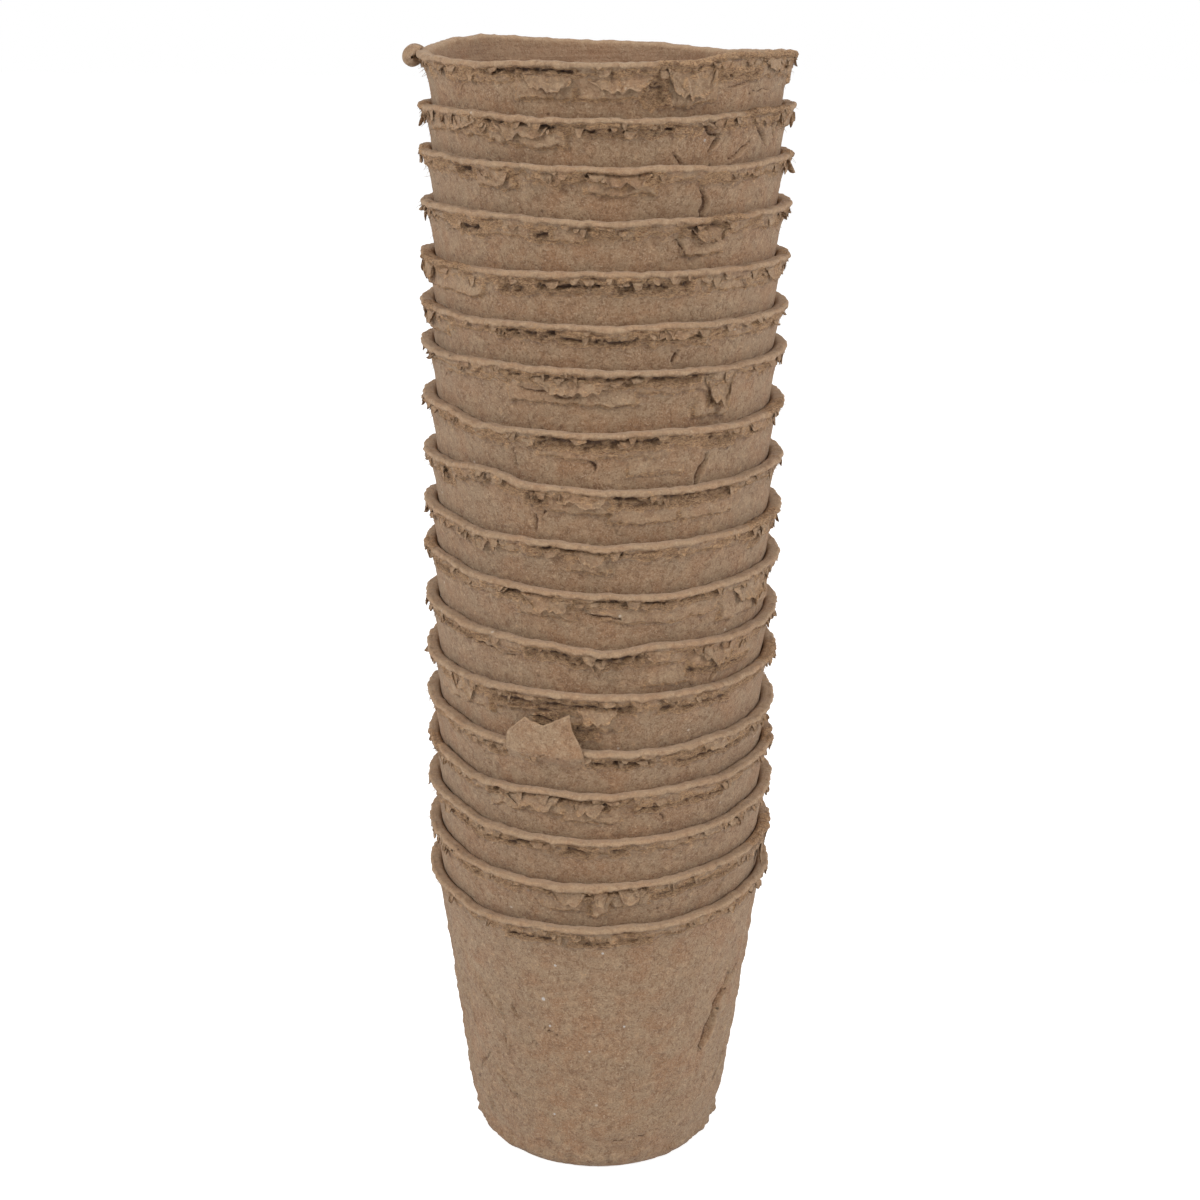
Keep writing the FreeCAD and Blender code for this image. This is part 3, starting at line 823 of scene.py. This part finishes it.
def add_flap(parts, index, bearing, width, start, length, curl, lean, salt):
    """A thin torn flap, rooted under the lip and hanging down, closed all round."""
    span = width * math.radians(1) * noise_radius
    s, t = sheet_grid(max(4, int(span / 0.4)), max(4, int(length / 0.36)))
    place = stacked(s * span + 37.1 * salt, 5.3 * salt, 0)
    outline = 0.80 + 0.42 * noise(place / 4.2, 101) + 0.24 * layered(place, 1.3, 103, 3)
    outline = np.clip(outline, 0.3, 1.1) * (1 - 0.75 * np.abs(2 * s) ** 4)
    surface = stacked(s * span + 37.1 * salt, t * length, 9.1 * salt)
    side_rag = 0.10 * noise(surface[:, :, [1, 2, 0]] / 1.6, 107)
    angle = bearing + width * (s * (1 - 0.22 * t) + side_rag * np.abs(2 * s) + lean * t)
    run = t * length * outline
    bend = np.radians(curl) * (1 + 0.7 * noise(place / 3.1, 105)) * t ** 1.6
    wave = 0.35 * layered(surface, 3.0, 109, 3) * t
    height = lip_top_at(index, angle) - lip_band - start - run * np.cos(bend) + 0.6 * (1 - t)
    stand = (lip_reach - 0.35) * np.exp(-np.maximum(start + run, 0) / 3.4)
    radius = wall_line(height) + stand + 0.30 * t + run * 0.62 * np.sin(bend) + wave
    radius = radius - 1.1 * (1 - smooth(0.0, 0.28, t))
    thin = flap_thickness * (1 - 0.6 * t) * (1 - 0.6 * np.abs(2 * s) ** 4)
    level = height + base_heights[index]
    sides = [points_at(np.radians(angle), radius + half * thin, level) for half in (0.5, -0.5)]
    # The flap's edges are painted paler, partly as highlight, and its back takes torn fibre and painted
    # shade.
    rim = np.maximum(smooth(0.78, 1.0, t), smooth(0.84, 1.0, np.abs(2 * s)))
    torn = 0.20 + 0.25 * rim + 0.35 * noise(surface / 1.5, 117)
    mask = stacked(np.clip(torn, 0, 1), 0, 0.30 + 1.1 * rim, 0)
    parts.add_sheet(sides, (mask, mask * (1, 0, 0, 0) + (0.4, 0.25, 0, 0)))


def add_scraps(parts, index, rng):
    """Small scraps of skin along the torn edge."""
    for scrap in range(scraps_per_pot):
        bearing = rng.uniform(*(front_span if rng.random() < scraps_in_front else back_span))
        width = rng.uniform(1.2, 5.6)
        length = rng.uniform(0.7, 2.7)
        start = rng.uniform(-0.35, 1.5)
        curl = rng.uniform(10, 65)
        lean = rng.uniform(-0.25, 0.25)
        add_flap(parts, index, bearing, width, start, length, curl, lean, salt=500 + index * 60 + scrap)


def add_tongue(parts):
    """The tongue of a rim that stands up instead of rolling over."""
    s, t = sheet_grid(62, 34)
    bearing = np.linspace(tongue_bearings[0], tongue_bearings[-1], len(s))[:, None] + 0 * t
    drum = round_the_pot(bearing, tongue_pot)
    crest = np.interp(bearing[:, 0], tongue_bearings, tongue_tops)[:, None]
    crest = crest + 0.22 * layered(drum, 1.4, 301, 3)
    foot = tongue_foot - 0.022 * (bearing - tongue_bearings[0]) + 0.25 * layered(drum, 2.6, 303, 2)
    level = blend_of(np.maximum(crest, foot + 0.8), foot, t)
    height = pot_height + level
    surface = round_the_pot(bearing, tongue_pot, height)
    radius = wall_line(pot_height + foot) + 0.35
    radius = blend_of(radius, 39.95 + 0.02 * level, smooth(foot, foot + 3.4, level))
    radius = radius + 0.18 * noise(surface / 6.0, 305) + 0.06 * layered(surface, 1.8, 307, 2)
    radius = radius - 0.5 * smooth(0.93, 1.0, t)
    thick = tongue_thickness * (1 - 0.5 * smooth(0.06, 0.0, t))
    lifted = height + base_heights[tongue_pot]
    sides = [points_at(np.radians(bearing), r, lifted) for r in (radius, radius - thick)]
    # The free edges are painted paler, partly as highlight, and the back takes torn fibre and painted
    # shade.
    rim = np.maximum(smooth(0.07, 0.0, t), smooth(0.95, 1.0, np.abs(2 * s)))
    mask = stacked(0.12 * rim, 0, 0.12 + 0.8 * rim, 0)
    parts.add_sheet(sides, (mask, 0 * mask + (0.4, 0.3, 0, 0)))


def add_curl(parts, index):
    """Skin of the top rim rolled up outside its left side, closed towards the front."""
    s, t = sheet_grid(26, 84)
    place = stacked(s * 7.0, t * 15.0, 3.3)
    angle = np.radians(curl_start_angle - curl_turn_angle * t)
    size = blend_of(curl_radius, curl_inner_radius, t ** 0.8) + 0.22 * layered(place, 3.0, 311, 3)
    close = 1 - 0.82 * smooth(-0.1, 1.0, 2 * s) ** 1.5
    size = size * close
    ends = 1.3 * layered(place[..., [1, 0, 2]], 2.6, 313, 3) * np.abs(2 * s)
    bearing = curl_bearing + curl_width * s * (1 - 0.35 * t) + ends
    sides = []
    for half in (0.0, -curl_thickness):
        reach = size + half * close
        r = rim_radius + curl_out + reach * np.cos(angle)
        z = pot_height - curl_down + 1.08 * reach * np.sin(angle) + base_heights[index]
        sides.append(points_at(np.radians(bearing), r, z))
    # The side edges are painted paler, partly as highlight, and the inner face takes torn fibre and
    # heavy painted shade.
    rim = smooth(0.85, 1.0, np.abs(2 * s))
    mask = stacked(0.2 + 0.3 * rim, 0, 0.4 + 0.4 * rim, 0)
    parts.add_sheet(sides, (mask, 0 * mask + (0.5, 0.75, 0, 0)))


def add_fibres(parts, index, rng):
    """Fine fibres standing out of the torn edges."""
    count = fibres_per_pot
    front = rng.random(count) < fibres_in_front
    angles = np.where(front, rng.uniform(*front_span, count), rng.uniform(*back_span, count))
    up = np.array([0.0, 0.0, 1.0])
    for angle, top in zip(angles, lip_top_at(index, angles)):
        under = abs(rng.normal(0, 2.4)) - 0.6
        length = rng.uniform(0.4, 1.9)
        thick = rng.uniform(0.03, 0.08)
        turn = math.radians(angle)
        outward = np.array([math.sin(turn), -math.cos(turn), 0.0])
        along = np.array([math.cos(turn), math.sin(turn), 0.0])
        height = top - lip_band - under
        root = wall_line(height) + (lip_reach - 0.3) * math.exp(-max(under, 0) / 2.3) - 0.1
        start = outward * root + up * (height + base_heights[index])
        way = outward * rng.uniform(0.15, 0.8) + along * rng.normal(0, 0.9) - up * rng.uniform(-0.2, 0.9)
        way /= np.linalg.norm(way)
        droop = rng.uniform(0.0, 0.5)
        side = np.cross(way, up)
        side /= np.linalg.norm(side) + 1e-9
        over = np.cross(side, way)
        rings = []
        for share in (0.0, 0.35, 0.7, 1.0):
            middle = start + way * length * share - up * droop * length * share * share
            middle = middle + side * 0.15 * length * math.sin(5 * share + angle)
            size = thick * (1 - 0.7 * share)
            ring = [middle + size * (math.cos(a) * side + math.sin(a) * over)
                    for a in (0, 2 * math.pi / 3, 4 * math.pi / 3)]
            # Fibres take some torn colour and are painted pale, partly as highlight.
            rings.append(parts.add_points(np.array(ring), np.tile([0.3, 0.0, 0.8, 0.0], (3, 1))))
        parts.add_tube(rings, 3)
        parts.faces.append([rings[0] + 2, rings[0] + 1, rings[0]])
        parts.faces.append([rings[-1], rings[-1] + 1, rings[-1] + 2])


def make_pot(index, material):
    """One pot with its flaps, scraps and fibres, in place of its node."""
    name = pot_names[index]
    rng = np.random.default_rng(seed * 1000 + index)
    parts = MeshParts()
    add_cup(parts, index)
    for number, row in enumerate(flap_rows[index + 1]):
        add_flap(parts, index, *row, salt=index * 10 + number + 1)
    add_scraps(parts, index, rng)
    add_fibres(parts, index, rng)
    if index == tongue_pot:
        add_tongue(parts)
    if index == pot_count - 1:
        add_curl(parts, index)
    piece = parts.build(name + "_pulp")
    piece.data.materials.append(material)
    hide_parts(name)
    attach(piece, name)


class Nodes:
    """Short forms for building the nodes of a material or world."""

    def __init__(self, owner):
        owner.use_nodes = True
        self.tree = owner.node_tree
        self.tree.nodes.clear()

    def add(self, kind, inputs, **settings):
        """The outputs of a new node, whose inputs are values or other nodes' outputs."""
        node = self.tree.nodes.new(kind)
        for key, value in settings.items():
            setattr(node, key, value)
        for key, value in inputs.items():
            if isinstance(value, bpy.types.NodeSocket):
                self.tree.links.new(value, node.inputs[key])
            else:
                node.inputs[key].default_value = value
        return node.outputs

    def pattern(self, place, scale, detail, rough=0.5, twist=0.0):
        inputs = {"Vector": place, "Scale": scale, "Detail": detail}
        inputs.update({"Roughness": rough, "Distortion": twist})
        return self.add("ShaderNodeTexNoise", inputs)["Fac"]

    def stretched(self, place, scale):
        return self.add("ShaderNodeMapping", {"Vector": place, "Scale": scale})["Vector"]

    def between(self, value, low, high, most=1.0):
        """0 where the value is at low, most where it is at high, smooth between."""
        inputs = {"Value": value, "From Min": low, "From Max": high, "To Max": most}
        return self.add("ShaderNodeMapRange", inputs, interpolation_type="SMOOTHSTEP")["Result"]

    def calc(self, operation, a, b):
        return self.add("ShaderNodeMath", {0: a, 1: b}, operation=operation)[0]

    def mix(self, share, a, b):
        return self.add("ShaderNodeMix", {0: share, 6: a, 7: b}, data_type="RGBA")[2]

    def mask(self, word):
        return self.add("ShaderNodeAttribute", {}, attribute_name=word)["Fac"]

    def seen_directly(self):
        """1 for rays from the camera, off a mirror or through glass, 0 for others."""
        rays = self.add("ShaderNodeLightPath", {})
        seen = self.calc("MAXIMUM", rays["Is Camera Ray"], rays["Is Glossy Ray"])
        return self.calc("MAXIMUM", seen, rays["Is Transmission Ray"])


def colour_of(red, green, blue):
    """An opaque colour from 0 to 255 values as seen, in the renderer's linear values."""
    linear = []
    for value in (red, green, blue):
        v = value / 255
        linear.append(v / 12.92 if v <= 0.04045 else ((v + 0.055) / 1.055) ** 2.4)
    return (*linear, 1.0)


# Pale flecks in the pulp: bearing, height over the floor and radius there, and size.
flecks = (
    (-15.0, 56.4, 36.8, 0.55), (-20.0, 47.0, 35.6, 0.8), (-18.0, 40.0, 34.7, 0.5),
    (10.0, 40.5, 34.7, 0.55), (-18.0, 15.5, 31.4, 0.45), (1.5, 60.4, 37.4, 0.5),
    (-3.0, 34.0, 33.9, 0.4), (31.0, 235.5, 37.5, 0.6), (-8.0, 227.0, 37.4, 0.4),
    (20.0, 96.5, 37.2, 0.8), (-33.0, 115.6, 39.0, 0.7), (2.0, 148.0, 37.4, 0.4),
)

# How strongly flecks, torn fibre, painted shade, pale edges with their painted highlight and the inside
# are coloured.
fleck_strength = 0.8
torn_strength = 0.80
painted_shade_strength = 0.80
pale_strength = 0.50
inner_strength = 0.5
spot_strength = 0.7


def placed_flecks(n, place):
    """Strongest on the flecks of the table, 0 elsewhere."""
    marks = None
    for bearing, level, radius, size in flecks:
        spot = tuple(points_at(math.radians(bearing), radius, level) * millimetre)
        away = n.add("ShaderNodeVectorMath", {0: place, 1: spot}, operation="DISTANCE")["Value"]
        mark = n.between(away, 0.75 * size * millimetre, 0.35 * size * millimetre, fleck_strength)
        marks = mark if marks is None else n.calc("MAXIMUM", marks, mark)
    return marks


def pulp_material():
    """Grey-brown moulded pulp: mottled, flecked and fibrous, browner where torn, with painted shade in
    pits and creases and pale edges that are partly painted highlight.
    """
    material = bpy.data.materials.new("moulded_pulp")
    n = Nodes(material)
    place = n.add("ShaderNodeTexCoord", {})["Object"]
    patch = n.pattern(place, 60, 2)
    blotch = n.pattern(place, 230, 3)
    mottle = n.pattern(place, 780, 4, 0.65, 0.6)
    grain = n.pattern(place, 2300, 3, 0.7)
    swirl = n.pattern(place, 1150, 4, 0.7, 2.4)
    fibre = n.pattern(n.stretched(place, (1, 1, 2.2)), 1500, 4, 0.7, 1.0)
    striped = n.pattern(n.stretched(place, (0.05, 0.05, 1)), 1500, 2)

    # A pattern, its values where a colour starts and is strongest, strength and colour.
    tones = (
        (patch, 0.40, 0.62, 0.45, (150, 127, 102)),
        (mottle, 0.52, 0.32, 0.75, (126, 95, 71)),
        (mottle, 0.52, 0.70, 0.65, (178, 151, 123)),
        (swirl, 0.47, 0.32, 0.75, (118, 88, 66)),
        (swirl, 0.55, 0.70, 0.70, (186, 160, 132)),
        (grain, 0.46, 0.28, 0.75, (108, 80, 60)),
        (grain, 0.55, 0.72, 0.70, (196, 172, 146)),
    )
    base = n.mix(n.between(blotch, 0.36, 0.64), colour_of(156, 121, 91), colour_of(161, 134, 106))
    for pattern, start, end, strength, colour in tones:
        base = n.mix(n.between(pattern, start, end, strength), base, colour_of(*colour))

    # The banded inside, pale edges, partly painted highlight, torn fibre, and painted shade in pits,
    # recesses and creases.
    band = n.mix(n.between(striped, 0.35, 0.65), colour_of(138, 106, 84), colour_of(168, 136, 110))
    base = n.mix(n.calc("MULTIPLY", n.mask("inner"), inner_strength), base, band)
    # Pale edges and crests, partly painted highlight.
    base = n.mix(n.calc("MULTIPLY", n.mask("pale"), pale_strength), base, colour_of(194, 162, 130))
    torn = n.mask("torn")
    tear = n.mix(n.between(fibre, 0.36, 0.60), colour_of(128, 86, 52), colour_of(212, 170, 126))
    broken = n.calc("ADD", torn, n.calc("MULTIPLY", n.calc("SUBTRACT", mottle, 0.5), 1.2))
    base = n.mix(n.between(broken, 0.18, 0.60, torn_strength), base, tear)
    # Painted shade: the shade mask, broken by the fibre pattern, darkens towards dark brown.
    deep = n.calc("ADD", n.mask("painted_shade"), n.calc("MULTIPLY", n.calc("SUBTRACT", fibre, 0.5), 1.4))
    base = n.mix(n.between(deep, 0.40, 0.80, painted_shade_strength), base, colour_of(84, 56, 38))

    # The larger flecks in their places, and small pale and dark ones all over.
    base = n.mix(placed_flecks(n, place), base, colour_of(206, 200, 196))
    cells = n.add("ShaderNodeTexVoronoi", {"Vector": place, "Scale": 260}, feature="F1")
    few = n.add("ShaderNodeSeparateColor", {0: cells["Color"]})
    spot = n.between(cells["Distance"], 0.12, 0.05)
    for channel, start, end, colour in ((0, 0.93, 0.95, (204, 188, 170)), (1, 0.88, 0.90, (92, 68, 52))):
        chosen = n.between(few[channel], start, end, spot_strength)
        base = n.mix(n.calc("MULTIPLY", spot, chosen), base, colour_of(*colour))

    height = n.calc("ADD", n.calc("MULTIPLY", mottle, 0.7), n.calc("MULTIPLY", grain, 0.3))
    height = n.calc("ADD", height, n.calc("MULTIPLY", swirl, 0.6))
    height = n.calc("ADD", height, n.calc("MULTIPLY", n.calc("MULTIPLY", fibre, torn), 3.0))
    bumps = n.add("ShaderNodeBump", {"Strength": 0.9, "Distance": 0.0006, "Height": height})
    shader = n.add("ShaderNodeBsdfPrincipled", {
        "Base Color": base, "Normal": bumps["Normal"], "Roughness": 0.95,
        "Specular IOR Level": 0.15, "Sheen Weight": 0.12, "Sheen Roughness": 0.5,
    })
    n.add("ShaderNodeOutputMaterial", {"Surface": shader[0]})
    return material


# The white surroundings, the lamps (name, place, size, power) and the camera, in metres.
floor_reach = 6.0
floor_grey = 0.8
floor_glow = 0.62
world_light = 0.52
lamp_aim = (0, 0, 0.16)
lamps = (
    ("left_lamp", (-1.20, -0.66, 0.98), 0.6, 15.5),
    ("right_lamp", (1.20, -0.66, 0.88), 0.7, 14.5),
)
camera_place = (-0.00038, -0.4359, 0.2636)
sensor_width = 36.0
camera_down_angle = 16.98
camera_roll_angle = 0.56
camera_lens = 59.9


def floor_material():
    """White floor: camera and mirror rays see it white, with the object's soft shadow."""
    material = bpy.data.materials.new("white_floor")
    n = Nodes(material)
    diffuse = n.add("ShaderNodeBsdfDiffuse", {"Color": (floor_grey, floor_grey, floor_grey, 1)})
    strength = n.calc("MULTIPLY", n.seen_directly(), floor_glow)
    glow = n.add("ShaderNodeEmission", {"Strength": strength})
    both = n.add("ShaderNodeAddShader", {0: diffuse[0], 1: glow[0]})
    n.add("ShaderNodeOutputMaterial", {"Surface": both[0]})
    return material


def make_floor():
    mesh = bpy.data.meshes.new("floor")
    corners = [(x * floor_reach, y * floor_reach, 0) for x, y in ((-1, -1), (1, -1), (1, 1), (-1, 1))]
    mesh.from_pydata(corners, [], [(0, 1, 2, 3)])
    mesh.materials.append(floor_material())
    floor = add_object("floor", mesh)


def make_world():
    """Even light all round, seen as white where the floor ends."""
    world = bpy.data.worlds.new("studio")
    bpy.context.scene.world = world
    n = Nodes(world)
    lit = n.add("ShaderNodeBackground", {"Color": (1, 1, 1, 1), "Strength": world_light})
    shown = n.add("ShaderNodeBackground", {"Color": (1, 1, 1, 1)})
    both = n.add("ShaderNodeMixShader", {0: n.seen_directly(), 1: lit[0], 2: shown[0]})
    n.add("ShaderNodeOutputWorld", {"Surface": both[0]})


def make_lamp(name, place, size, power):
    light = bpy.data.lights.new(name, "AREA")
    light.shape = "SQUARE"
    light.size = size
    light.energy = power
    lamp = add_object(name, light)
    lamp.location = place
    lamp.rotation_euler = (Vector(place) - Vector(lamp_aim)).to_track_quat("Z", "Y").to_euler()


def make_camera():
    """The camera of the photograph, fitted to the places of the rims."""
    camera = bpy.data.cameras.new("camera")
    camera.sensor_width = sensor_width
    camera.lens = camera_lens
    camera.clip_end = 50.0
    eye = add_object("camera", camera)
    pitch = math.radians(90 - camera_down_angle)
    roll = math.radians(camera_roll_angle)
    place = Matrix.Translation(camera_place)
    eye.matrix_world = place @ Matrix.Rotation(pitch, 4, "X") @ Matrix.Rotation(roll, 4, "Z")
    bpy.context.scene.camera = eye


make_camera()
make_world()
make_floor()
for lamp_row in lamps:
    make_lamp(*lamp_row)
pulp = pulp_material()
for pot_index in range(pot_count):
    make_pot(pot_index, pulp)

bpy.context.scene.view_settings.view_transform = "Standard"
